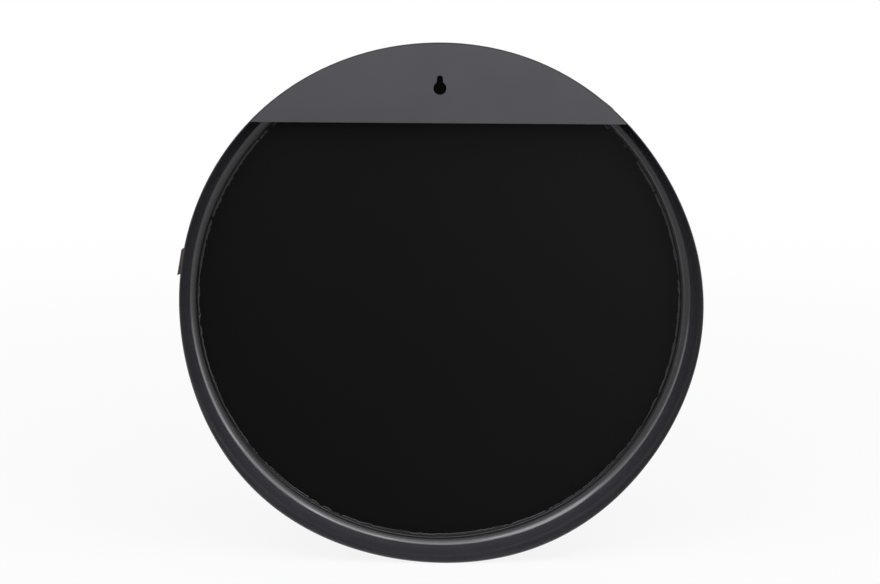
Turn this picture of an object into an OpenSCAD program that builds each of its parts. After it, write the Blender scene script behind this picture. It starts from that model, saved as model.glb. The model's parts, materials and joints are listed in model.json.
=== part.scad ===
// Round wall mirror in a deep ring of black steel sheet, hung by a keyhole in its back plate.
// X runs across the mirror, Z is up, and the mirror faces -Y. The origin is the centre of the
// ring's rear edge, so the wall is the plane Y = 0. All sizes are in millimetres.

/* [Ring] */
// Outer diameter of the ring
ring_d = 600; // [400:10:900]
// Depth of the ring, from its rear edge to its front face
ring_depth = 60; // [40:1:90]
// Thickness of the ring's sheet
ring_sheet = 1.2; // [0.8:0.1:2]
// Inside radius of the bend between the wall and the front flange
bend_r = 11; // [6:0.5:13]
// Width of the front flange, from the ring's outside to its opening
flange_w = 25; // [23:0.5:45]

/* [Hanger plate] */
// Height of the plate, from the ring's top to its straight lower edge
plate_h = 89; // [75:1:130]
// Thickness of the plate
plate_t = 1.5; // [1:0.1:3]
// Gap between the plate's edge and the ring's wall
plate_gap = 0.2; // [0.1:0.05:0.5]
// Distance from the ring's top down to the centre of the keyhole's round entry
entry_drop = 50.5; // [35:0.5:60]
// Diameter of the keyhole's round entry, which a screw's head goes through
entry_d = 14.5; // [12:0.5:18]
// Width of the keyhole's slot, which a screw's shank rests in
slot_w = 6.8; // [4:0.1:7.5]
// Rise from the entry's centre to the centre of the slot's rounded end
slot_rise = 10.7; // [9:0.1:16]

/* [Tack welds] */
// Number of welds between the plate and the ring
weld_count = 5; // [2:1:9]
// Length of each weld along the ring
weld_len = 14; // [6:1:25]
// Leg of each weld's triangular section
weld_leg = 3; // [2:0.5:5]
// Distance from the plate's corners to the middle of the outermost welds, along the ring
weld_margin = 30; // [20:1:60]

/* [Mirror] */
// Gap between the ring's bend and the sealant bead where the pane lies nearest to the bend
pane_gap = 0.4; // [0.2:0.1:2]
// How far the pane lies off the ring's centre sideways
pane_shift = 1.2; // [0:0.1:2]
// Thickness of the glass
glass_t = 3; // [3:0.5:6]
// Thickness of the silver with its protective paint
coating_t = 0.2; // [0.1:0.05:0.5]
// Thickness of the backing board
board_t = 2.5; // [2:0.5:6]

/* [Bedding] */
// Thickness of the tape that beds the glass on the flange
tape_t = 0.8; // [0.5:0.1:2]
// Distance that the tape keeps from the pane's edge and from the flange's opening
tape_inset = 1; // [0.5:0.1:1.5]
// How far the sealant bead stands out from the pane's edge
bead_toe = 2.2; // [1:0.1:4]
// How far the sealant bead laps over the board
bead_lap = 3.5; // [0.8:0.1:5]
// Height of the sealant bead above the board
bead_rise = 1.1; // [0.5:0.1:2]

/* [Side tag] */
// Length of the tag along the ring
tag_len = 30; // [20:0.5:45]
// Width of the tag across the ring's wall
tag_w = 12; // [6:0.5:20]
// Thickness of the tag
tag_t = 0.9; // [0.5:0.1:1.5]
// Radius of the tag's corners
tag_corner = 1; // [0.5:0.1:2]
// Thickness of the pad at its thinnest, between the ring and the tag
pad_t = 1.5; // [0.8:0.1:3]
// Distance along the ring over which the pad's upper end slopes down to the ring
pad_slope = 3; // [1:0.5:6]
// How far the tag's lower end stands past the pad's foot
tag_overhang = 1.6; // [0.2:0.1:3]
// Height of the tag's middle above the mirror's middle, as an angle round the ring
tag_angle = 10.5; // [0:0.5:35]
// Distance from the ring's rear edge to the tag
tag_setback = 1; // [0.5:0.5:10]

/* [Hidden] */
$fn = 180;

// Extra length of a cutter past the face that it cuts
CUT = 1;

ring_r = ring_d / 2;
wall_r = ring_r - ring_sheet;
bend_out = bend_r + ring_sheet;
flange_r = ring_r - flange_w;

plate_r = wall_r - plate_gap;
plate_low = ring_r - plate_h;
entry_z = ring_r - entry_drop;

// Angle round the ring, from the top, at which the plate's corners and its outermost welds lie
corner_angle = acos(plate_low / plate_r);
weld_span = corner_angle - weld_margin / wall_r * 180 / PI;
weld_angle = weld_len / wall_r * 180 / PI;

// Distances from the rear edge forwards, back to front through the mirror
seat_depth = ring_depth - ring_sheet;
glass_front = seat_depth - tape_t;
glass_back = glass_front - glass_t;
board_front = glass_back - coating_t;
board_back = board_front - board_t;

pane_r = ring_r - bend_out - pane_gap - pane_shift - bead_toe;

// Turns a shape drawn along +Z so that it runs from the rear edge towards the front
module facing_front() {
    rotate([90, 0, 0]) children();
}

// Disc or washer between two depths, centred on the ring
module washer(outer_r, inner_r, from, to) {
    facing_front() translate([0, 0, from]) difference() {
        cylinder(r = outer_r, h = to - from);
        if (inner_r > 0) {
            translate([0, 0, -CUT]) cylinder(r = inner_r, h = to - from + 2 * CUT);
        }
    }
}

module on_pane() {
    translate([pane_shift, 0, 0]) children();
}

// Rounded bend between the ring's wall and its front flange
module ring_bend() {
    facing_front() rotate_extrude() translate([ring_r - bend_out, ring_depth - bend_out]) {
        intersection() {
            difference() {
                circle(r = bend_out);
                circle(r = bend_r);
            }
            square(bend_out);
        }
    }
}

module frame_ring() {
    color("#3d3c40") union() {
        washer(ring_r, wall_r, 0, ring_depth - bend_out);
        ring_bend();
        washer(ring_r - bend_out, flange_r, seat_depth, ring_depth);
    }
}

module keyhole() {
    facing_front() translate([0, entry_z, -CUT]) {
        cylinder(d = entry_d, h = plate_t + 2 * CUT);
        translate([0, slot_rise, 0]) cylinder(d = slot_w, h = plate_t + 2 * CUT);
        translate([-slot_w / 2, 0, 0]) cube([slot_w, slot_rise, plate_t + 2 * CUT]);
    }
}

module hanger_plate() {
    color("#545357") difference() {
        washer(plate_r, 0, 0, plate_t);
        translate([-ring_r, -plate_t - CUT, -ring_r]) {
            cube([ring_d, plate_t + 2 * CUT, ring_r + plate_low]);
        }
        keyhole();
    }
}

// One weld in the corner between the wall and the plate's front face, centred at the ring's top
module weld() {
    rotate([0, weld_angle / 2, 0]) facing_front() rotate([0, 0, 90]) rotate_extrude(angle = weld_angle) {
        polygon([
            [wall_r, plate_t],
            [wall_r, plate_t + weld_leg],
            [wall_r - weld_leg, plate_t]
        ]);
    }
}

module plate_welds() {
    color("#343337") for (i = [0 : weld_count - 1]) {
        rotate([0, weld_span * (2 * i / (weld_count - 1) - 1), 0]) weld();
    }
}

module seat_tape() {
    tape_outer = pane_r - tape_inset;
    tape_inner = flange_r + tape_inset + pane_shift;
    color("#1c1c1e") on_pane() washer(tape_outer, tape_inner, glass_front, seat_depth);
}

module mirror_glass() {
    color("#c9d6d2") on_pane() washer(pane_r, 0, glass_back, glass_front);
}

module silver_coating() {
    color("#d8dadb") on_pane() washer(pane_r, 0, board_front, glass_back);
}

module backing_board() {
    color("#18181a") on_pane() washer(pane_r, 0, board_back, board_front);
}

// Sealant over the board's rim and down the pane's edge to the flange
module sealant_bead() {
    color("#2a2a2d") on_pane() facing_front() rotate_extrude() polygon([
        [pane_r, seat_depth],
        [pane_r + bead_toe, seat_depth],
        [pane_r + bead_toe * 0.7, board_back],
        [pane_r, board_back - bead_rise],
        [pane_r - bead_lap * 0.6, board_back - bead_rise * 0.9],
        [pane_r - bead_lap, board_back],
        [pane_r, board_back]
    ]);
}

// Puts a shape on the outside of the ring: X outwards, Z along the ring, -Y from its rear edge
module on_ring_side() {
    rotate([0, -tag_angle, 0]) translate([ring_r, -tag_setback, 0]) children();
}

module tag_pad() {
    end = tag_len / 2;
    // Depth below the ring's tangent that clears the wall's curve at the pad's ends
    root = CUT + pow(end + pad_slope, 2) / ring_d;
    color("#2b282b") difference() {
        on_ring_side() facing_front() linear_extrude(tag_w) polygon([
            [-root, end + pad_slope],
            [0, end + pad_slope],
            [pad_t, end],
            [pad_t, -end],
            [0, tag_overhang - end],
            [-root, tag_overhang - end]
        ]);
        facing_front() translate([0, 0, -CUT]) cylinder(r = ring_r, h = ring_depth, $fn = 720);
    }
}

module brass_tag() {
    near = tag_corner;
    far = tag_len - tag_corner;
    color("#b08d4a") on_ring_side() translate([pad_t, -tag_w, tag_len / 2]) {
        rotate([0, 90, 0]) linear_extrude(tag_t) {
            translate([near, 0]) square([far - near, tag_w]);
            translate([0, tag_corner]) square([tag_len, tag_w - 2 * tag_corner]);
            for (x = [near, far], y = [tag_corner, tag_w - tag_corner]) {
                translate([x, y]) circle(r = tag_corner);
            }
        }
    }
}

frame_ring();
hanger_plate();
plate_welds();
seat_tape();
mirror_glass();
silver_coating();
backing_board();
sealant_bead();
tag_pad();
brass_tag();
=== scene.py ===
"""Round wall mirror in a deep black steel ring, seen from behind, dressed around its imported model.

X runs across the mirror, Z is up, and the mirror faces -Y. Depth is counted from the ring's rear edge
towards the front, so it is -Y. Lengths are in metres.
"""
import json
import math

import bmesh
import bpy
from mathutils import Matrix, Vector


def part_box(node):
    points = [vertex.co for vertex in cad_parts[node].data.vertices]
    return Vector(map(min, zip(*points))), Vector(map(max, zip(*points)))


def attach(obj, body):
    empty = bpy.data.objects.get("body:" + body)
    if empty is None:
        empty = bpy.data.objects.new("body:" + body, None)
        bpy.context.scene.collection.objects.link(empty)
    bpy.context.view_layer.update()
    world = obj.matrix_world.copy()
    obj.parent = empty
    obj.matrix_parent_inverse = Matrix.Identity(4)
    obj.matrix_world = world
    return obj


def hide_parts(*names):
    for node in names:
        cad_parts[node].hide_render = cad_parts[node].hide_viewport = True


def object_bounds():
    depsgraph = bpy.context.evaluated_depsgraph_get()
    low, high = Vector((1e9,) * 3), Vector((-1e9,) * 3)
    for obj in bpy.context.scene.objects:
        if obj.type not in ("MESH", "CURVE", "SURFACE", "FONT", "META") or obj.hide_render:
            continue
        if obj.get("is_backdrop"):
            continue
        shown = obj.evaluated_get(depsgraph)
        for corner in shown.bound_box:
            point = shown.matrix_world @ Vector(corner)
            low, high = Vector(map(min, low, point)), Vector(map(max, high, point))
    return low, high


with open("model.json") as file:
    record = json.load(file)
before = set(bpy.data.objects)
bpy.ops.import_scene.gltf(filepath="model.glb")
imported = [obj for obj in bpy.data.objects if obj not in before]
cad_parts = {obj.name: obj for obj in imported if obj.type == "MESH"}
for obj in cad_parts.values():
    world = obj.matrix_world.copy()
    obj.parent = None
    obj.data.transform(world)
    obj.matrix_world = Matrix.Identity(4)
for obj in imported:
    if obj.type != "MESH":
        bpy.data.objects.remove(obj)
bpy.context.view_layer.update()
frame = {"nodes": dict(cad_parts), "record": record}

MM = 0.001
TAU = 2 * math.pi

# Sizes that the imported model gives
RING_LOW, RING_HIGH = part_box("frame_ring")
PLATE_LOW, PLATE_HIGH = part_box("hanger_plate")
PANE_LOW, PANE_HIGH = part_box("mirror_glass")
TAG_LOW, TAG_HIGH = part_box("brass_tag")
RING_R = (RING_HIGH.x - RING_LOW.x) / 2
RING_DEPTH = RING_HIGH.y - RING_LOW.y
PLATE_T = PLATE_HIGH.y - PLATE_LOW.y
PLATE_EDGE_Z = PLATE_LOW.z
PANE_X = (PANE_LOW.x + PANE_HIGH.x) / 2
PANE_R = (PANE_HIGH.x - PANE_LOW.x) / 2
BOARD_BACK = -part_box("backing_board")[1].y
SEAT_DEPTH = -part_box("seat_tape")[0].y
SHEET = RING_DEPTH - SEAT_DEPTH
TAG_W = TAG_HIGH.y - TAG_LOW.y
TAG_SETBACK = -TAG_HIGH.y

# Sizes that the boxes don't show
BEND_R = 11 * MM
FLANGE_W = 25 * MM
PLATE_GAP = 0.2 * MM
ENTRY_D = 14.5 * MM
ENTRY_Z = RING_R - 50.5 * MM
SLOT_W = 6.8 * MM
SLOT_RISE = 10.7 * MM
WELD_COUNT = 5
WELD_LEN = 14 * MM
WELD_LEG = 3 * MM
WELD_MARGIN = 30 * MM
TAG_LEN = 30 * MM
TAG_T = 0.9 * MM
TAG_CORNER = 1 * MM
TAG_ANGLE = math.radians(10.5)
TAG_OVERHANG = 1.6 * MM
PAD_T = 1.5 * MM
PAD_SLOPE = 3 * MM

# The ring is a little undersize, and its front is a little larger than its rear and leans towards +X
UNDERSIZE = 0.9 * MM
FRONT_GROWTH = 0.4 * MM
FRONT_LEAN = 0.6 * MM
# It is out of round too. Each wave has its count round the ring, then its cosine and sine height.
OUT_OF_ROUND = (
    (2, -0.96 * MM, 1.01 * MM),
    (3, -0.69 * MM, -0.58 * MM),
    (4, -0.66 * MM, -0.12 * MM),
    (5, -1.0 * MM, 0.36 * MM),
    (6, 0.41 * MM, 0.21 * MM),
)
# The share of the waves that the flange takes out of the ring's front
FRONT_STIFFNESS = 0.8

# The radii that round the edges of the sheet, the plate, the tag and its pad
EDGE_R = 0.35 * MM
PLATE_EDGE_R = 0.25 * MM
TAG_EDGE_R = 0.12 * MM
PAD_EDGE_R = 0.15 * MM


def linear(code):
    """Linear red, green, blue and alpha of an sRGB hex colour."""
    parts = [int(code[i:i + 2], 16) / 255 for i in (1, 3, 5)]
    return [p / 12.92 if p <= 0.04045 else ((p + 0.055) / 1.055) ** 2.4 for p in parts] + [1.0]


def node(tree, kind, inputs=None, **settings):
    """Adds a node with its settings. inputs gives each socket a value or another node's output."""
    made = tree.nodes.new(kind)
    for name, value in settings.items():
        setattr(made, name, value)
    for socket, value in (inputs or {}).items():
        if isinstance(value, bpy.types.NodeSocket):
            tree.links.new(value, made.inputs[socket])
        else:
            made.inputs[socket].default_value = value
    return made


def smooth(x):
    """Eases from 0 to 1 as x goes from 0 to 1."""
    x = min(max(x, 0.0), 1.0)
    return x * x * (3 - 2 * x)


# Materials

def material(name, colour, roughness, specular=0.5, metallic=0.0):
    """A new material with a Principled shader, returned with its tree, shader and object coordinates."""
    made = bpy.data.materials.new(name)
    made.use_nodes = True
    tree = made.node_tree
    shader = tree.nodes["Principled BSDF"]
    shader.inputs["Base Color"].default_value = linear(colour)
    shader.inputs["Roughness"].default_value = roughness
    shader.inputs["Specular IOR Level"].default_value = specular
    shader.inputs["Metallic"].default_value = metallic
    place = node(tree, "ShaderNodeTexCoord").outputs["Object"]
    return made, tree, shader, place


def powder_coat(name, dark, light, roughness, specular, scuffs=0.0):
    """Polyester powder coat baked on steel: satin, with orange peel, cloudy shade and a few rubbed marks."""
    made, tree, shader, place = material(name, dark, roughness, specular)
    # Clouds about 45 mm across, where the powder lies thicker
    cloud = node(tree, "ShaderNodeTexNoise", {"Vector": place, "Scale": 22.0, "Detail": 3.0})
    shade = node(tree, "ShaderNodeMix", {"Factor": cloud.outputs["Fac"], 6: linear(dark), 7: linear(light)},
                 data_type="RGBA")
    # Rubbed marks 10 mm long and 0.8 mm wide, which run round the ring
    stretched = node(tree, "ShaderNodeMapping", {"Vector": place, "Scale": (1.0, 12.0, 1.0)})
    rub = node(tree, "ShaderNodeTexNoise", {"Vector": stretched.outputs[0], "Scale": 100.0, "Detail": 2.0})
    mark = node(tree, "ShaderNodeMapRange", {"Value": rub.outputs["Fac"], 1: 0.68, 2: 0.76, 3: 0.0,
                                             4: scuffs})
    worn = node(tree, "ShaderNodeMix", {"Factor": mark.outputs[0], 6: shade.outputs[2], 7: linear("#77767b")},
                data_type="RGBA")
    tree.links.new(worn.outputs[2], shader.inputs["Base Color"])
    spread = 0.04
    gloss = node(tree, "ShaderNodeMapRange", {"Value": cloud.outputs["Fac"], 1: 0.3, 2: 0.7,
                                              3: roughness - spread, 4: roughness + spread})
    tree.links.new(gloss.outputs[0], shader.inputs["Roughness"])
    # Orange peel 1.4 mm across, on sheet that waves a little over 60 mm
    wave = node(tree, "ShaderNodeTexNoise", {"Vector": place, "Scale": 16.0, "Detail": 1.0})
    bend = node(tree, "ShaderNodeBump", {"Height": wave.outputs["Fac"], "Strength": 1.0,
                                         "Distance": 0.5 * MM})
    peel = node(tree, "ShaderNodeTexNoise", {"Vector": place, "Scale": 700.0, "Detail": 2.0})
    bump = node(tree, "ShaderNodeBump", {"Height": peel.outputs["Fac"], "Strength": 0.25,
                                         "Distance": 0.05 * MM, "Normal": bend.outputs["Normal"]})
    tree.links.new(bump.outputs["Normal"], shader.inputs["Normal"])
    return made


def black_board():
    """Fibreboard pressed with a black melamine face: satin, faintly cloudy, with a little dust on it."""
    made, tree, shader, place = material("black_melamine_faced_board", "#060607", 0.3, specular=0.13)
    # Clouds of shade about 110 mm across
    cloud = node(tree, "ShaderNodeTexNoise", {"Vector": place, "Scale": 9.0, "Detail": 4.0})
    shade = node(tree, "ShaderNodeMix", {"Factor": cloud.outputs["Fac"], 6: linear("#050506"),
                                         7: linear("#080808")}, data_type="RGBA")
    # One cell in four of 55 mm holds a speck of dust under 1 mm wide
    cell = node(tree, "ShaderNodeTexVoronoi", {"Vector": place, "Scale": 18.0})
    near = node(tree, "ShaderNodeMapRange", {"Value": cell.outputs["Distance"], 1: 0.006, 2: 0.012,
                                             3: 1.0, 4: 0.0})
    pick = node(tree, "ShaderNodeMath", {0: cell.outputs["Color"], 1: 0.6}, operation="GREATER_THAN")
    dust = node(tree, "ShaderNodeMath", {0: near.outputs[0], 1: pick.outputs[0]}, operation="MULTIPLY")
    dusty = node(tree, "ShaderNodeMix", {"Factor": dust.outputs[0], 6: shade.outputs[2],
                                         7: linear("#4a4a4c")}, data_type="RGBA")
    tree.links.new(dusty.outputs[2], shader.inputs["Base Color"])
    # The press plate's fine grain, 1 mm across
    grain = node(tree, "ShaderNodeTexNoise", {"Vector": place, "Scale": 900.0, "Detail": 2.0})
    bump = node(tree, "ShaderNodeBump", {"Height": grain.outputs["Fac"], "Strength": 0.3,
                                         "Distance": 0.04 * MM})
    tree.links.new(bump.outputs["Normal"], shader.inputs["Normal"])
    return made


def sealant():
    """Black butyl sealant, gunned on and smoothed by hand: glossy where wet, duller where it was wiped."""
    made, tree, shader, place = material("black_butyl_sealant", "#101011", 0.4, specular=0.6)
    # Wiped patches 6 mm across
    wipe = node(tree, "ShaderNodeTexNoise", {"Vector": place, "Scale": 160.0, "Detail": 3.0})
    gloss = node(tree, "ShaderNodeMapRange", {"Value": wipe.outputs["Fac"], 1: 0.35, 2: 0.65,
                                              3: 0.28, 4: 0.55})
    tree.links.new(gloss.outputs[0], shader.inputs["Roughness"])
    # Drag marks of the fingertip, 1 mm apart
    drag = node(tree, "ShaderNodeTexNoise", {"Vector": place, "Scale": 900.0, "Detail": 2.0})
    bump = node(tree, "ShaderNodeBump", {"Height": drag.outputs["Fac"], "Strength": 0.5,
                                         "Distance": 0.15 * MM})
    tree.links.new(bump.outputs["Normal"], shader.inputs["Normal"])
    return made


def foam(name, colour, pore):
    """Cut closed-cell foam: matte, with open pores at its surface."""
    made, tree, shader, place = material(name, colour, 0.9, specular=0.2)
    cells = node(tree, "ShaderNodeTexVoronoi", {"Vector": place, "Scale": 1 / pore})
    bump = node(tree, "ShaderNodeBump", {"Height": cells.outputs["Distance"], "Strength": 0.6,
                                         "Distance": 0.3 * pore})
    tree.links.new(bump.outputs["Normal"], shader.inputs["Normal"])
    return made


def float_glass():
    """Clear glass floated on tin: flat and polished on both faces, with the faintest green."""
    made, _, shader, _ = material("float_glass", "#f9fdfb", 0.0)
    shader.inputs["Transmission Weight"].default_value = 1.0
    shader.inputs["IOR"].default_value = 1.52
    return made


def silvering():
    """Silver poured on the glass from a solution: a bright, flawless mirror seen through the pane."""
    return material("silver_on_glass", "#f4f5f5", 0.0, metallic=1.0)[0]


def brass():
    """Cut brass sheet left bare: dull yellow, brushed one way, with brown tarnish in patches."""
    made, tree, shader, place = material("bare_cut_brass", "#877644", 0.38, metallic=1.0)
    # Tarnish in spots 5 mm across
    spots = node(tree, "ShaderNodeTexNoise", {"Vector": place, "Scale": 180.0, "Detail": 4.0})
    tarnish = node(tree, "ShaderNodeMapRange", {"Value": spots.outputs["Fac"], 1: 0.45, 2: 0.7})
    shade = node(tree, "ShaderNodeMix", {"Factor": tarnish.outputs[0], 6: linear("#877644"),
                                         7: linear("#48402b")}, data_type="RGBA")
    tree.links.new(shade.outputs[2], shader.inputs["Base Color"])
    # Brushing 0.3 mm apart, along the tag
    across = node(tree, "ShaderNodeMapping", {"Vector": place, "Scale": (1.0, 30.0, 1.0)})
    lines = node(tree, "ShaderNodeTexNoise", {"Vector": across.outputs[0], "Scale": 110.0, "Detail": 2.0})
    bump = node(tree, "ShaderNodeBump", {"Height": lines.outputs["Fac"], "Strength": 0.4,
                                         "Distance": 0.02 * MM})
    tree.links.new(bump.outputs["Normal"], shader.inputs["Normal"])
    return made


MATERIALS = {
    "ring_coat": powder_coat("black_powder_coat_on_ring", "#363538", "#3d3c3f", 0.14, 0.85, scuffs=0.5),
    "plate_coat": powder_coat("black_powder_coat_on_plate", "#38373b", "#3d3c40", 0.42, 0.5),
    "weld_coat": powder_coat("black_powder_coat_on_welds", "#28272b", "#2e2d31", 0.45, 0.5),
    "bedding_tape": foam("acrylic_foam_tape", "#1a1a1b", 0.4 * MM),
    "float_glass": float_glass(),
    "silver": silvering(),
    "black_board": black_board(),
    "sealant": sealant(),
    "foam_pad": foam("polyurethane_foam_pad", "#49454c", 0.7 * MM),
    "brass": brass(),
}

for part, thing in frame["nodes"].items():
    slot = next(s["material_slot"] for s in frame["record"]["subparts"] if s["node"] == part)
    for socket in thing.material_slots:
        socket.material = MATERIALS[slot]


# Ways of making a piece

def to_object(name, mesh, slot, *nodes):
    """Makes a mesh a piece of the mirror, in the finish of one material slot, in place of CAD nodes."""
    mesh.materials.clear()
    mesh.materials.append(MATERIALS[slot])
    piece = bpy.data.objects.new(name, mesh)
    bpy.context.scene.collection.objects.link(piece)
    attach(piece, "root")
    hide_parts(*nodes)
    return piece


def outward(mesh):
    """Joins doubled points, turns a closed mesh's faces outwards and shades them smooth."""
    work = bmesh.new()
    work.from_mesh(mesh)
    bmesh.ops.remove_doubles(work, verts=work.verts, dist=0.001 * MM)
    bmesh.ops.recalc_face_normals(work, faces=work.faces)
    work.to_mesh(mesh)
    work.free()
    mesh.shade_smooth()
    return mesh


def rounded(corners):
    """Closed outline with (x, y, radius) corners, each turned by an arc with a point close to both ends."""
    points = []
    count = len(corners)
    for i, (x, y, radius) in enumerate(corners):
        here = Vector((x, y))
        back = (Vector(corners[i - 1][:2]) - here).normalized()
        ahead = (Vector(corners[(i + 1) % count][:2]) - here).normalized()
        half = back.angle(ahead) / 2
        reach = radius / math.tan(half)
        middle = here + (back + ahead).normalized() * (radius / math.sin(half))
        start, end = here + back * reach - middle, here + ahead * reach - middle
        turn = start.angle_signed(end)
        steps = 6 + int(radius / MM)
        # The points close by lie on the straight sides, whose smooth shading they keep flat
        guard = min(0.15 * radius, 0.3 * MM)
        points.append(here + back * (reach + guard))
        for k in range(steps + 1):
            points.append(middle + Matrix.Rotation(-turn * k / steps, 2) @ start)
        points.append(here + ahead * (reach + guard))
    return points


def refined(points, longest):
    """The closed outline with its long sides cut into shorter steps."""
    out = []
    for a, b in zip(points, points[1:] + points[:1]):
        cuts = max(1, math.ceil((b - a).length / longest))
        out += [a.lerp(b, k / cuts) for k in range(cuts)]
    return out


def lathe(name, profile, steps, place):
    """Sweeps a closed (radius, depth) profile round the mirror's axis. place gives each point in space."""
    mesh = bpy.data.meshes.new(name)
    count = len(profile)
    verts = [place(TAU * i / steps, *p) for i in range(steps) for p in profile]
    faces = []
    for i in range(steps):
        j = (i + 1) % steps
        for k in range(count):
            m = (k + 1) % count
            faces.append((i * count + k, i * count + m, j * count + m, j * count + k))
    mesh.from_pydata(verts, [], faces)
    return outward(mesh)


def inset(loop, by):
    """The closed loop moved to its left by a distance, its corners mitred."""
    out = []
    for i, p in enumerate(loop):
        a = (p - loop[i - 1]).normalized()
        b = (loop[(i + 1) % len(loop)] - p).normalized()
        left = Vector((-a.y - b.y, a.x + b.x))
        out.append(p + left * by / (1 + a.dot(b)))
    return out


def slab(name, loops, thickness, edge_r, place, edge_steps=3):
    """A flat plate with rounded edges. The first loop is its outline, anticlockwise, the rest are holes."""
    work = bmesh.new()
    angles = [math.pi / 2 * k / edge_steps for k in range(edge_steps + 1)]
    levels = [(edge_r * (1 - math.sin(a)), edge_r * (1 - math.cos(a))) for a in angles]
    levels += [(edge, thickness - rise) for edge, rise in reversed(levels)]
    rings = []
    for loop in loops:
        rows = []
        for edge, height in levels:
            rows.append([work.verts.new(place(p.x, p.y, height)) for p in inset(loop, edge)])
        for low, high in zip(rows, rows[1:]):
            for i in range(len(loop)):
                work.faces.new((low[i - 1], low[i], high[i], high[i - 1]))
        rings.append(rows)
    for side in (0, -1):
        edges = []
        for rows in rings:
            row = rows[side]
            for i in range(len(row)):
                edge = work.edges.get((row[i - 1], row[i])) or work.edges.new((row[i - 1], row[i]))
                edge.smooth = False
                edges.append(edge)
        bmesh.ops.triangle_fill(work, edges=edges, use_beauty=True, use_dissolve=False)
    mesh = bpy.data.meshes.new(name)
    work.to_mesh(mesh)
    work.free()
    return outward(mesh)


def opened(name, sizes):
    """A Geometry Nodes tree that takes a section and named sizes, with the sockets that give them."""
    tree = bpy.data.node_groups.new(name, "GeometryNodeTree")
    tree.interface.new_socket("Section", in_out="INPUT", socket_type="NodeSocketGeometry")
    for size, value in sizes.items():
        kind = "NodeSocketInt" if isinstance(value, int) else "NodeSocketFloat"
        tree.interface.new_socket(size, in_out="INPUT", socket_type=kind)
    tree.interface.new_socket("Geometry", in_out="OUTPUT", socket_type="NodeSocketGeometry")
    return tree, node(tree, "NodeGroupInput").outputs


def grown(name, section, tree, sizes):
    """Runs a tree on a closed section and returns its mesh. section holds named numbers of its points."""
    count = len(section["out"])
    base = bpy.data.meshes.new(name + "_section")
    base.from_pydata([(*p, 0) for p in zip(section["out"], section["depth"])],
                     [(k, (k + 1) % count) for k in range(count)], [])
    for key, numbers in section.items():
        base.attributes.new(key, "FLOAT", "POINT").data.foreach_set("value", numbers)
    holder = bpy.data.objects.new(name + "_holder", base)
    bpy.context.scene.collection.objects.link(holder)
    modifier = holder.modifiers.new(name, "NODES")
    modifier.node_group = tree
    sockets = {s.name: s.identifier for s in tree.interface.items_tree if s.in_out == "INPUT"}
    for size, value in sizes.items():
        modifier[sockets[size]] = value
    bpy.context.view_layer.update()
    mesh = bpy.data.meshes.new_from_object(holder.evaluated_get(bpy.context.evaluated_depsgraph_get()))
    mesh.name = name
    bpy.data.objects.remove(holder)
    return outward(mesh)


# The ring

def ring_offset(angle, depth):
    """How far the ring departs from its nominal radius, at an angle from +X towards +Z."""
    waves = sum(c * math.cos(n * angle) + s * math.sin(n * angle) for n, c, s in OUT_OF_ROUND)
    along = depth / RING_DEPTH
    front = FRONT_GROWTH + FRONT_LEAN * math.cos(angle)
    return waves * (1 - FRONT_STIFFNESS * along) + front * along - UNDERSIZE


def ring_profile():
    """Section of the ring's sheet, as (radius, depth) points."""
    inner, opening = RING_R - SHEET, RING_R - FLANGE_W
    corners = [
        (RING_R, 0, EDGE_R),
        (RING_R, RING_DEPTH, BEND_R + SHEET),
        (opening, RING_DEPTH, EDGE_R),
        (opening, SEAT_DEPTH, EDGE_R),
        (inner, SEAT_DEPTH, BEND_R),
        (inner, 0, EDGE_R),
    ]
    return refined(rounded(corners), longest=5 * MM)


def ring_place(angle, radius, depth):
    """Where a point of the ring's section lies, at an angle from +X towards +Z."""
    radius += ring_offset(angle, depth)
    return (radius * math.cos(angle), -depth, radius * math.sin(angle))


ring_mesh = lathe("spun_ring", ring_profile(), 720, ring_place)
to_object("spun_ring", ring_mesh, "ring_coat", "frame_ring")


# The hanger plate

PLATE_R = RING_R - SHEET - PLATE_GAP


def plate_outline(steps=180):
    """The plate's outline: along the ring's wall, then straight across. x is across and y is up."""
    corner = math.asin(PLATE_EDGE_Z / (PLATE_R - UNDERSIZE))
    points = []
    for k in range(steps + 1):
        angle = corner + (math.pi - 2 * corner) * k / steps
        radius = PLATE_R + ring_offset(angle, 0)
        points.append(Vector((radius * math.cos(angle), radius * math.sin(angle))))
    return points


def keyhole_outline(steps=48):
    """Round entry with a slot above it, clockwise."""
    entry, slot = ENTRY_D / 2, SLOT_W / 2
    neck = math.asin(slot / entry)
    turn = TAU - 2 * neck
    points = []
    for k in range(steps + 1):
        a = math.pi / 2 - neck - turn * k / steps
        points.append(Vector((entry * math.cos(a), ENTRY_Z + entry * math.sin(a))))
    for k in range(steps // 2 + 1):
        a = math.pi - math.pi * k / (steps // 2)
        points.append(Vector((slot * math.cos(a), ENTRY_Z + SLOT_RISE + slot * math.sin(a))))
    return points


plate_mesh = slab("keyhole_plate", [plate_outline(), keyhole_outline()], PLATE_T, PLATE_EDGE_R,
                  lambda x, y, z: (x, -z, y))
to_object("keyhole_plate", plate_mesh, "plate_coat", "hanger_plate")


# The silver on the back of the glass, which it reaches a hair into, so that no light passes between them

SILVER_T = 0.2 * MM
SILVER_BITE = 0.02 * MM
SILVER_BACK = -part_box("silver_coating")[1].y


def pane_outline(radius, steps=360):
    """The pane's round outline, anticlockwise."""
    angles = [TAU * k / steps for k in range(steps)]
    return [Vector((PANE_X + radius * math.cos(a), radius * math.sin(a))) for a in angles]


silver_mesh = slab("laid_silver", [pane_outline(PANE_R - SILVER_BITE)], SILVER_T + SILVER_BITE,
                   SILVER_BITE, lambda x, y, z: (x, -SILVER_BACK - z, y))
to_object("laid_silver", silver_mesh, "silver", "silver_coating")


# The welds between plate and ring, on the side that faces the board

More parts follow.
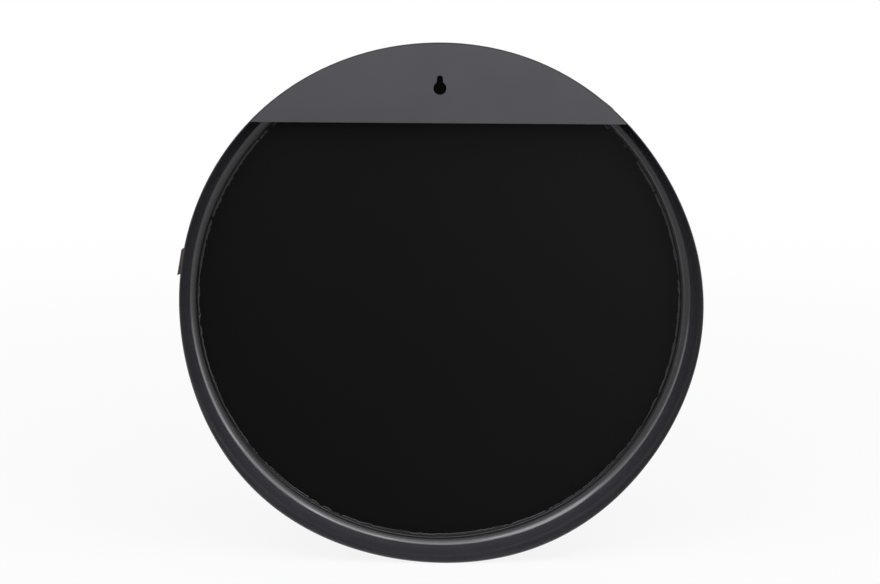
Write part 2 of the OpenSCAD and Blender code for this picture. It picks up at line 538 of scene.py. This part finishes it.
def weld_section(steps=10):
    """Section of a fillet weld from the corner, on the ring's wall and on the plate, with a bulged face.

    In shares of its leg, it reaches 0.1 into the wall and the plate, and its face lies 0.9 out.
    """
    root, bulge = 0.1, 0.9
    angles = [math.pi / 2 * k / steps for k in range(steps + 1)]
    face = [(-bulge * math.cos(a), bulge * math.sin(a)) for a in angles]
    rows = [(root, -root), (-1.0, -root)] + face + [(root, 1.0)]
    return {"out": [x * WELD_LEG for x, y in rows], "depth": [y * WELD_LEG for x, y in rows]}


def weld_tree(sizes):
    """Sweeps the section along the ring, with a ripple for each step of the torch, and repeats it."""
    tree, given = opened("rippled_welds", sizes)
    half = node(tree, "ShaderNodeMath", {0: given["Weld angle"], 1: 0.5}, operation="MULTIPLY")
    start = node(tree, "ShaderNodeMath", {0: math.pi / 2, 1: half.outputs[0]}, operation="SUBTRACT")
    path = node(tree, "GeometryNodeCurveArc", {"Resolution": given["Steps"], "Radius": given["Radius"],
                                               "Start Angle": start.outputs[0],
                                               "Sweep Angle": given["Weld angle"]}, mode="RADIUS")
    profile = node(tree, "GeometryNodeMeshToCurve", {"Mesh": given["Section"]})
    bead = node(tree, "GeometryNodeCurveToMesh", {"Curve": path.outputs["Curve"], "Fill Caps": True,
                                                  "Profile Curve": profile.outputs[0]})
    # Where a point lies along the weld, from -1 to 1
    position = node(tree, "GeometryNodeInputPosition")
    flat = node(tree, "ShaderNodeVectorMath", {0: position.outputs[0], 1: (1, 1, 0)}, operation="MULTIPLY")
    away = node(tree, "ShaderNodeVectorMath", {0: flat.outputs[0]}, operation="NORMALIZE")
    apart = node(tree, "ShaderNodeSeparateXYZ", {0: flat.outputs[0]})
    angle = node(tree, "ShaderNodeMath", {0: apart.outputs[0], 1: apart.outputs[1]}, operation="ARCTAN2")
    along = node(tree, "ShaderNodeMath", {0: angle.outputs[0], 1: half.outputs[0]}, operation="DIVIDE")
    # The bead tapers to a quarter of its size at its ends and swells by 14% with each ripple
    power = node(tree, "ShaderNodeMath", {0: along.outputs[0], 1: 4.0}, operation="POWER")
    taper = node(tree, "ShaderNodeMapRange", {"Value": power.outputs[0], 3: 1.0, 4: 0.25})
    turns = node(tree, "ShaderNodeMath", {0: along.outputs[0], 1: given["Ripples"]}, operation="MULTIPLY")
    swing = node(tree, "ShaderNodeMath", {0: turns.outputs[0], 1: 1.0}, operation="PINGPONG")
    ripple = node(tree, "ShaderNodeMapRange", {"Value": swing.outputs[0], 3: 1.0, 4: 1.14})
    size = node(tree, "ShaderNodeMath", {0: taper.outputs[0], 1: ripple.outputs[0]}, operation="MULTIPLY")
    # It is a tenth uneven, over 2 mm
    rough = node(tree, "ShaderNodeTexNoise", {"Vector": position.outputs[0], "W": given["Seed"],
                                              "Scale": 500.0, "Detail": 1.0}, noise_dimensions="4D")
    uneven = node(tree, "ShaderNodeMapRange", {"Value": rough.outputs["Fac"], 1: 0.3, 2: 0.7,
                                               3: 0.9, 4: 1.1})
    size = node(tree, "ShaderNodeMath", {0: size.outputs[0], 1: uneven.outputs[0]}, operation="MULTIPLY")
    out = node(tree, "GeometryNodeInputNamedAttribute", {"Name": "out"})
    deep = node(tree, "GeometryNodeInputNamedAttribute", {"Name": "depth"})
    radius = node(tree, "ShaderNodeMath", {0: out.outputs[0], 1: size.outputs[0], 2: given["Radius"]},
                  operation="MULTIPLY_ADD")
    depth = node(tree, "ShaderNodeMath", {0: deep.outputs[0], 1: size.outputs[0], 2: given["Depth"]},
                 operation="MULTIPLY_ADD")
    across = node(tree, "ShaderNodeVectorMath", {0: away.outputs[0], "Scale": radius.outputs[0]},
                  operation="SCALE")
    front = node(tree, "ShaderNodeCombineXYZ", {2: depth.outputs[0]})
    placed = node(tree, "ShaderNodeVectorMath", {0: across.outputs[0], 1: front.outputs[0]},
                  operation="ADD")
    shaped = node(tree, "GeometryNodeSetPosition", {"Geometry": bead.outputs[0],
                                                    "Position": placed.outputs[0]})
    # One weld for each place, spread evenly over the span on both sides of the top
    spots = node(tree, "GeometryNodePoints", {"Count": given["Count"]})
    index = node(tree, "GeometryNodeInputIndex")
    last = node(tree, "ShaderNodeMath", {0: given["Count"], 1: 1.0}, operation="SUBTRACT")
    reach = node(tree, "ShaderNodeMapRange", {"Value": index.outputs[0], 2: last.outputs[0],
                                              4: given["Span"]})
    less = node(tree, "ShaderNodeMath", {0: given["Span"], 1: -0.5}, operation="MULTIPLY")
    turn = node(tree, "ShaderNodeMath", {0: reach.outputs[0], 1: less.outputs[0]}, operation="ADD")
    angles = node(tree, "ShaderNodeCombineXYZ", {2: turn.outputs[0]})
    rotation = node(tree, "FunctionNodeEulerToRotation", {0: angles.outputs[0]})
    welds = node(tree, "GeometryNodeInstanceOnPoints", {"Points": spots.outputs[0],
                                                        "Instance": shaped.outputs[0],
                                                        "Rotation": rotation.outputs[0]})
    stood = node(tree, "GeometryNodeTransform", {"Geometry": welds.outputs[0],
                                                 "Rotation": (math.pi / 2, 0, 0)})
    real = node(tree, "GeometryNodeRealizeInstances", {"Geometry": stood.outputs[0]})
    coated = node(tree, "GeometryNodeSetMaterial", {"Geometry": real.outputs[0],
                                                    "Material": MATERIALS["weld_coat"]})
    node(tree, "NodeGroupOutput", {0: coated.outputs[0]})
    return tree


WALL_R = RING_R - SHEET
WELD_HALF_SPAN = math.acos(PLATE_EDGE_Z / PLATE_R) - WELD_MARGIN / WALL_R
weld_sizes = {
    "Radius": WALL_R - UNDERSIZE,
    "Depth": PLATE_T,
    "Weld angle": WELD_LEN / WALL_R,
    "Steps": 80,
    "Ripples": 9.0,
    "Count": WELD_COUNT,
    "Span": 2 * WELD_HALF_SPAN,
    "Seed": 3.0,
}
weld_mesh = grown("rippled_welds", weld_section(), weld_tree(weld_sizes), weld_sizes)
to_object("rippled_welds", weld_mesh, "weld_coat", "plate_welds")


# The sealant round the board

# How far it laps over the board, and the share of that over which its underside is sunk
BEAD_LAP = 3.9 * MM
SUNK_SHARE = 0.8
# The width of its hump on the board, and how deep the hump's foot lies in the board
HUMP_W = 3.0 * MM
FOOT_DEPTH = 0.05 * MM
# The share of the gap between pane and bend that its rim takes
RIM_SHARE = 0.35
# How far its underside lies inside the ring, the pane and the board
SUNK = 0.3 * MM
# How much lumps and rags count in the hump's height, next to swells
LUMP_SHARE = 0.6
RAG_SHARE = 0.8
# The numbers that each point of its section has
BEAD_KEYS = ("out", "gap", "toe", "depth", "hump", "rim", "rag")


def bead_section(steps=20):
    """Section of the sealant, from its edge on the board over the pane's edge to its toe on the bend.

    Each point has its distance out from the pane's edge, its share of the gap between pane and bend and of
    the sagged toe, its depth, and how much the hump, the bulge on the rim and the ragged edge move it.
    """
    section = {key: [] for key in BEAD_KEYS}

    def add(out, gap, toe, depth, hump=0.0, rim=0.0, rag=0.0):
        for key, number in zip(BEAD_KEYS, (out, gap, toe, depth, hump, rim, rag)):
            section[key].append(number)

    level = BOARD_BACK + FOOT_DEPTH
    for k in range(steps + 1):
        out = -BEAD_LAP + HUMP_W * k / steps
        bulge = math.sqrt(1 - (2 * k / steps - 1) ** 2)
        add(out, 0.0, 0.0, level, hump=bulge, rag=1 - smooth(1.5 * k / steps))
    inner = HUMP_W - BEAD_LAP
    for k in range(1, steps + 1):
        t = k / steps
        bulge = math.sqrt(1 - (2 * t - 1) ** 2)
        add(inner * (1 - smooth(2 * t)), RIM_SHARE * smooth(2 * t - 1), 0.0, level, rim=bulge)
    for k in range(1, steps + 1):
        t = k / steps
        drop = (SEAT_DEPTH - SUNK - level) * smooth(3 * t)
        add(0.0, RIM_SHARE + (1 - RIM_SHARE) * t, t, level + drop)
    # The underside
    add(0.0, 1.0, 1.0, SEAT_DEPTH + SUNK)
    add(-SUNK, 0.0, 0.0, SEAT_DEPTH + SUNK)
    add(-SUNK, 0.0, 0.0, BOARD_BACK + SUNK)
    add(-SUNK_SHARE * BEAD_LAP, 0.0, 0.0, BOARD_BACK + SUNK)
    return section


def bead_tree(sizes):
    """Sweeps the section round the pane. The bead swells and thins, is ragged, and sags low down."""
    tree, given = opened("laid_sealant", sizes)
    path = node(tree, "GeometryNodeCurvePrimitiveCircle", {"Resolution": given["Steps"],
                                                           "Radius": given["Pane radius"]})
    profile = node(tree, "GeometryNodeMeshToCurve", {"Mesh": given["Section"]})
    bead = node(tree, "GeometryNodeCurveToMesh", {"Curve": path.outputs["Curve"],
                                                  "Profile Curve": profile.outputs[0]})
    position = node(tree, "GeometryNodeInputPosition")
    level = node(tree, "ShaderNodeVectorMath", {0: position.outputs[0], 1: (1, 1, 0)}, operation="MULTIPLY")
    away = node(tree, "ShaderNodeVectorMath", {0: level.outputs[0]}, operation="NORMALIZE")
    side = node(tree, "ShaderNodeSeparateXYZ", {0: away.outputs[0]})
    rim = node(tree, "ShaderNodeVectorMath", {0: away.outputs[0], "Scale": given["Pane radius"]},
               operation="SCALE")
    # Noise along the rim, at three lengths: slow swells, lumps and the ragged edge, each from -1 to 1
    noises = []
    for length in ("Swell length", "Lump length", "Rag length"):
        scale = node(tree, "ShaderNodeMath", {0: 1.0, 1: given[length]}, operation="DIVIDE")
        noise = node(tree, "ShaderNodeTexNoise", {"Vector": rim.outputs[0], "W": given["Seed"],
                                                  "Detail": 1.0, "Scale": scale.outputs[0]},
                     noise_dimensions="4D")
        full = node(tree, "ShaderNodeMapRange", {"Value": noise.outputs["Fac"], 1: 0.3, 2: 0.7,
                                                 3: -1.0, 4: 1.0})
        noises.append(full.outputs[0])
    swell, lump, rag = noises
    # How far down a point lies: on the lower half, low down, and at the foot
    lower = node(tree, "ShaderNodeMapRange", {"Value": side.outputs[1], 1: -0.2, 2: -0.7},
                 interpolation_type="SMOOTHSTEP").outputs[0]
    low = node(tree, "ShaderNodeMapRange", {"Value": side.outputs[1], 1: -0.5, 2: -0.95},
               interpolation_type="SMOOTHSTEP").outputs[0]
    foot = node(tree, "ShaderNodeMapRange", {"Value": side.outputs[1], 1: -0.9, 2: -1.0},
                interpolation_type="SMOOTHSTEP").outputs[0]
    own = {key: node(tree, "GeometryNodeInputNamedAttribute", {"Name": key}).outputs[0] for key in BEAD_KEYS}
    # Out from the axis: the gap is narrower on the side towards which the pane lies, the toe sags low down,
    # and the hump strays outwards on the lower half and back inwards at the foot
    less = node(tree, "ShaderNodeMath", {0: given["Off centre"], 1: -1.0}, operation="MULTIPLY")
    gap = node(tree, "ShaderNodeMath", {0: side.outputs[0], 1: less.outputs[0], 2: given["Gap"]},
               operation="MULTIPLY_ADD")
    sag = node(tree, "ShaderNodeMath", {0: low, 1: given["Sag"], 2: given["Toe"]}, operation="MULTIPLY_ADD")
    ragged = node(tree, "ShaderNodeMath", {0: lump, 1: rag}, operation="ADD")
    ragged = node(tree, "ShaderNodeMath", {0: ragged.outputs[0], 1: given["Wander"]}, operation="MULTIPLY")
    ragged = node(tree, "ShaderNodeMath", {0: lower, 1: given["Stray out"], 2: ragged.outputs[0]},
                  operation="MULTIPLY_ADD")
    ragged = node(tree, "ShaderNodeMath", {0: foot, 1: given["Stray in"], 2: ragged.outputs[0]},
                  operation="MULTIPLY_ADD")
    radius = node(tree, "ShaderNodeMath", {0: own["rag"], 1: ragged.outputs[0], 2: own["out"]},
                  operation="MULTIPLY_ADD")
    radius = node(tree, "ShaderNodeMath", {0: own["gap"], 1: gap.outputs[0], 2: radius.outputs[0]},
                  operation="MULTIPLY_ADD")
    radius = node(tree, "ShaderNodeMath", {0: own["toe"], 1: sag.outputs[0], 2: radius.outputs[0]},
                  operation="MULTIPLY_ADD")
    radius = node(tree, "ShaderNodeMath", {0: radius.outputs[0], 1: given["Pane radius"]}, operation="ADD")
    # Towards the rear: the hump thins out in places and on the upper half, and the rim bulges low down
    uneven = node(tree, "ShaderNodeMath", {0: lump, 1: LUMP_SHARE, 2: swell}, operation="MULTIPLY_ADD")
    uneven = node(tree, "ShaderNodeMath", {0: rag, 1: RAG_SHARE, 2: uneven.outputs[0]},
                  operation="MULTIPLY_ADD")
    fat = node(tree, "ShaderNodeMapRange", {"Value": uneven.outputs[0], 1: -0.9, 2: 0.9,
                                            3: given["Hump low"], 4: given["Hump high"]})
    bulge = node(tree, "ShaderNodeMapRange", {"Value": low, 3: given["Rim low"], 4: given["Rim high"]})
    thinned = node(tree, "ShaderNodeMapRange", {"Value": side.outputs[1], 1: 0.35, 2: 0.0,
                                                3: 0.15, 4: 1.0})
    fat = node(tree, "ShaderNodeMath", {0: fat.outputs[0], 1: thinned.outputs[0]}, operation="MULTIPLY")
    raised = node(tree, "ShaderNodeMath", {0: own["hump"], 1: fat.outputs[0]}, operation="MULTIPLY")
    raised = node(tree, "ShaderNodeMath", {0: own["rim"], 1: bulge.outputs[0], 2: raised.outputs[0]},
                  operation="MULTIPLY_ADD")
    depth = node(tree, "ShaderNodeMath", {0: own["depth"], 1: raised.outputs[0]}, operation="SUBTRACT")
    across = node(tree, "ShaderNodeVectorMath", {0: away.outputs[0], "Scale": radius.outputs[0]},
                  operation="SCALE")
    front = node(tree, "ShaderNodeCombineXYZ", {0: given["Pane shift"], 2: depth.outputs[0]})
    placed = node(tree, "ShaderNodeVectorMath", {0: across.outputs[0], 1: front.outputs[0]},
                  operation="ADD")
    shaped = node(tree, "GeometryNodeSetPosition", {"Geometry": bead.outputs[0],
                                                    "Position": placed.outputs[0]})
    stood = node(tree, "GeometryNodeTransform", {"Geometry": shaped.outputs[0],
                                                 "Rotation": (math.pi / 2, 0, 0)})
    real = node(tree, "GeometryNodeRealizeInstances", {"Geometry": stood.outputs[0]})
    made = node(tree, "GeometryNodeSetMaterial", {"Geometry": real.outputs[0],
                                                  "Material": MATERIALS["sealant"]})
    node(tree, "NodeGroupOutput", {0: made.outputs[0]})
    return tree


bead_sizes = {
    "Pane radius": PANE_R,
    "Pane shift": PANE_X,
    "Off centre": PANE_X - FRONT_LEAN,
    "Gap": 1.9 * MM,
    "Toe": 0.3 * MM,
    "Sag": 1.7 * MM,
    "Steps": 1500,
    "Swell length": 45 * MM,
    "Lump length": 11 * MM,
    "Rag length": 4 * MM,
    "Wander": 0.8 * MM,
    "Stray out": 0.9 * MM,
    "Stray in": -2.0 * MM,
    "Hump low": 0.1 * MM,
    "Hump high": 1.1 * MM,
    "Rim low": 0.05 * MM,
    "Rim high": 0.9 * MM,
    "Seed": 7.0,
}
bead_mesh = grown("laid_sealant", bead_section(), bead_tree(bead_sizes), bead_sizes)
to_object("laid_sealant", bead_mesh, "sealant", "sealant_bead")


# The tag on the ring's side and the pad under it

TAG_OUT = Vector((math.cos(TAG_ANGLE), 0, math.sin(TAG_ANGLE)))
TAG_UP = Vector((-math.sin(TAG_ANGLE), 0, math.cos(TAG_ANGLE)))
FRONTWARD = Vector((0, -1, 0))
TAG_SEAT_R = RING_R + ring_offset(TAG_ANGLE, TAG_SETBACK + TAG_W / 2)
# The pad is narrower than the tag by this on each side
PAD_INSET = 0.3 * MM


def beside_ring(out, up, depth):
    """Point at a distance out from the ring's side, up along the tag and in from the ring's rear edge."""
    return TAG_OUT * (TAG_SEAT_R + out) + TAG_UP * up + FRONTWARD * depth


def pad_outline(steps=24):
    """The pad's outline in (up, out): it follows the ring, and its upper end slopes down to the ring."""
    half = TAG_LEN / 2
    low, high = TAG_OVERHANG - half, half + PAD_SLOPE
    points = [Vector((low, PAD_T)), Vector((half, PAD_T))]
    for k in range(steps + 1):
        up = high + (low - high) * k / steps
        drop = TAG_SEAT_R - math.sqrt(TAG_SEAT_R ** 2 - up ** 2)
        points.append(Vector((up, -drop)))
    return points


pad_mesh = slab("tag_cushion", [list(reversed(pad_outline()))], TAG_W - 2 * PAD_INSET, PAD_EDGE_R,
                lambda up, out, depth: beside_ring(out, up, TAG_SETBACK + PAD_INSET + depth))
to_object("tag_cushion", pad_mesh, "foam_pad", "tag_pad")

half_tag = TAG_LEN / 2
tag_corners = [
    (-half_tag, 0, TAG_CORNER),
    (half_tag, 0, TAG_CORNER),
    (half_tag, TAG_W, TAG_CORNER),
    (-half_tag, TAG_W, TAG_CORNER),
]
tag_mesh = slab("bare_tag", [rounded(tag_corners)], TAG_T, TAG_EDGE_R,
                lambda up, depth, out: beside_ring(PAD_T + out, up, TAG_SETBACK + depth))
to_object("bare_tag", tag_mesh, "brass", "brass_tag")


# Studio: a pale floor that touches the ring's lowest point, and a white background

bpy.context.view_layer.update()
FLOOR_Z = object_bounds()[0].z
FLOOR_SIZE = 60.0
LAMP_DISTANCE = 2.0


def by_ray(tree, seen, mirrored, lighting):
    """One level for the camera's rays, one for those that gloss or glass sends on, one for the rest."""
    path = node(tree, "ShaderNodeLightPath")
    sent_on = node(tree, "ShaderNodeMath", {0: path.outputs["Is Glossy Ray"],
                                            1: path.outputs["Is Transmission Ray"]}, operation="MAXIMUM")
    rest = node(tree, "ShaderNodeMapRange", {"Value": sent_on.outputs[0], 3: lighting, 4: mirrored})
    return node(tree, "ShaderNodeMapRange", {"Value": path.outputs["Is Camera Ray"], 3: rest.outputs[0],
                                             4: seen}).outputs[0]


def pale_floor(name, albedo, lamp_light):
    """Pale paper that glows to make up for what the lamps don't light, so that it looks white all over.

    lamp_light is what the lamps give it at the mirror. In gloss it is pale in front of the mirror and grey
    behind it. There it grows paler towards -X and up to 6 m away, and it is black past 13.5 m.
    """
    made = bpy.data.materials.new(name)
    made.use_nodes = True
    tree = made.node_tree
    tree.nodes.clear()
    place = node(tree, "ShaderNodeNewGeometry").outputs["Position"]
    away = node(tree, "ShaderNodeVectorMath", {0: place}, operation="LENGTH").outputs["Value"]
    # The lamps' light falls off with the distance, to a half as far away as they stand
    far = node(tree, "ShaderNodeMath", {0: away, 1: LAMP_DISTANCE}, operation="DIVIDE").outputs[0]
    loss = node(tree, "ShaderNodeMath", {0: far, 1: far, 2: 1.0}, operation="MULTIPLY_ADD").outputs[0]
    lit_up = node(tree, "ShaderNodeMath", {0: lamp_light, 1: loss}, operation="DIVIDE").outputs[0]
    seen = node(tree, "ShaderNodeMath", {0: 1.0, 1: lit_up}, operation="SUBTRACT").outputs[0]
    spot = node(tree, "ShaderNodeSeparateXYZ", {0: place})
    rear = node(tree, "ShaderNodeMapRange", {"Value": spot.outputs[0], 1: -2.0, 2: 0.2, 3: 1.1, 4: 0.32})
    rise = node(tree, "ShaderNodeMapRange", {"Value": spot.outputs[1], 1: 2.0, 2: 6.0, 3: 1.0, 4: 1.7})
    rear = node(tree, "ShaderNodeMath", {0: rear.outputs[0], 1: rise.outputs[0]}, operation="MULTIPLY")
    fall = node(tree, "ShaderNodeMapRange", {"Value": spot.outputs[1], 1: 7.0, 2: 13.5, 3: 1.0, 4: 0.0})
    rear = node(tree, "ShaderNodeMath", {0: rear.outputs[0], 1: fall.outputs[0]}, operation="MULTIPLY")
    mirrored = node(tree, "ShaderNodeMapRange", {"Value": spot.outputs[1], 1: -0.3, 2: 0.0, 3: 0.86,
                                                 4: rear.outputs[0]})
    paper = node(tree, "ShaderNodeBsdfDiffuse", {"Color": (albedo, albedo, albedo, 1)})
    glow = node(tree, "ShaderNodeEmission", {"Strength": by_ray(tree, seen, mirrored.outputs[0], 0.0)})
    both = node(tree, "ShaderNodeAddShader", {0: paper.outputs[0], 1: glow.outputs[0]})
    node(tree, "ShaderNodeOutputMaterial", {"Surface": both.outputs[0]})
    return made


def flat(name, size, z, surface):
    """A square sheet of the studio."""
    mesh = bpy.data.meshes.new(name)
    h = size / 2
    mesh.from_pydata([(-h, -h, z), (h, -h, z), (h, h, z), (-h, h, z)], [], [(0, 1, 2, 3)])
    mesh.materials.append(surface)
    made = bpy.data.objects.new(name, mesh)
    bpy.context.scene.collection.objects.link(made)
    made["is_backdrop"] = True
    return made


flat("floor", FLOOR_SIZE, FLOOR_Z, pale_floor("pale_paper_floor", albedo=0.1, lamp_light=0.13))

world = bpy.data.worlds.new("white_studio")
bpy.context.scene.world = world
world.use_nodes = True
sky = world.node_tree
# In gloss the studio is nearly white in front of the mirror. Behind it, it darkens downwards and towards +X.
way = node(sky, "ShaderNodeSeparateXYZ", {0: node(sky, "ShaderNodeTexCoord").outputs["Generated"]})
side = node(sky, "ShaderNodeMapRange", {"Value": way.outputs[0], 1: -0.6, 2: 0.6, 3: 1.0, 4: 0.5})
raised = node(sky, "ShaderNodeMapRange", {"Value": way.outputs[2], 1: 0.0, 2: 0.4, 3: 0.9, 4: 1.2})
dim = node(sky, "ShaderNodeMath", {0: side.outputs[0], 1: raised.outputs[0]}, operation="MULTIPLY")
height = node(sky, "ShaderNodeMapRange", {"Value": way.outputs[2], 1: -0.3, 2: 0.7, 3: 0.8, 4: 1.0})
graded = node(sky, "ShaderNodeMapRange", {"Value": way.outputs[1], 1: -0.35, 2: 0.0, 3: height.outputs[0],
                                          4: dim.outputs[0]})
sky.links.new(by_ray(sky, 1.0, graded.outputs[0], 0.2), sky.nodes["Background"].inputs["Strength"])
sky.nodes["Background"].inputs["Color"].default_value = (1, 1, 1, 1)


def softbox(name, tilt, behind, across, along, level):
    """A rectangular lamp that faces the mirror's middle.

    Its angles in degrees are its tilt from straight up towards +X and how far it stands from straight
    behind. level is its brightness, where 1 is white.
    """
    tilt, behind = math.radians(tilt), math.radians(behind)
    sideways = Vector((math.cos(tilt), 0, -math.sin(tilt)))
    reach = math.sin(behind)
    outwards = Vector((reach * math.sin(tilt), math.cos(behind), reach * math.cos(tilt)))
    lamp = bpy.data.lights.new(name, "AREA")
    lamp.shape = "RECTANGLE"
    lamp.size, lamp.size_y = across, along
    # A rectangular lamp of radiance 1 gives 4 W per square metre
    lamp.energy = 4 * level * across * along
    lamp.color = linear("#f9f8ff")[:3]
    made = bpy.data.objects.new(name, lamp)
    turn = Matrix((sideways, outwards.cross(sideways), outwards)).transposed()
    made.matrix_world = Matrix.Translation(LAMP_DISTANCE * outwards) @ turn.to_4x4()
    made.visible_camera = False
    bpy.context.scene.collection.objects.link(made)


softbox("top_left_softbox", tilt=32, behind=56, across=0.85, along=1.75, level=2.8)
softbox("top_middle_softbox", tilt=0, behind=54, across=0.95, along=1.4, level=1.6)
softbox("top_right_softbox", tilt=-27, behind=62, across=0.75, along=1.75, level=2.5)
softbox("left_softbox", tilt=72, behind=65, across=1.5, along=1.5, level=0.9)
softbox("right_softbox", tilt=-52, behind=62, across=1.1, along=1.9, level=0.95)
softbox("low_right_softbox", tilt=-80, behind=60, across=0.8, along=2.1, level=1.6)
softbox("rear_softbox", tilt=0, behind=22, across=2.6, along=0.56, level=0.8)

# Camera, behind the mirror and a little above it
CAMERA_DISTANCE = 1.681
CAMERA_ELEVATION = math.radians(8.3)
CAMERA_AIM = Vector((-0.0001, 0, 0.0208))
LENS = 60.66
SENSOR = 36.0

camera_data = bpy.data.cameras.new("camera")
camera_data.lens = LENS
camera_data.sensor_width = SENSOR
camera = bpy.data.objects.new("camera", camera_data)
back = Vector((0, math.cos(CAMERA_ELEVATION), math.sin(CAMERA_ELEVATION)))
camera.location = CAMERA_AIM + CAMERA_DISTANCE * back
camera.rotation_euler = (-back).to_track_quat("-Z", "Y").to_euler()
bpy.context.scene.collection.objects.link(camera)
bpy.context.scene.camera = camera
bpy.context.scene.view_settings.view_transform = "Standard"

bpy.context.view_layer.update()
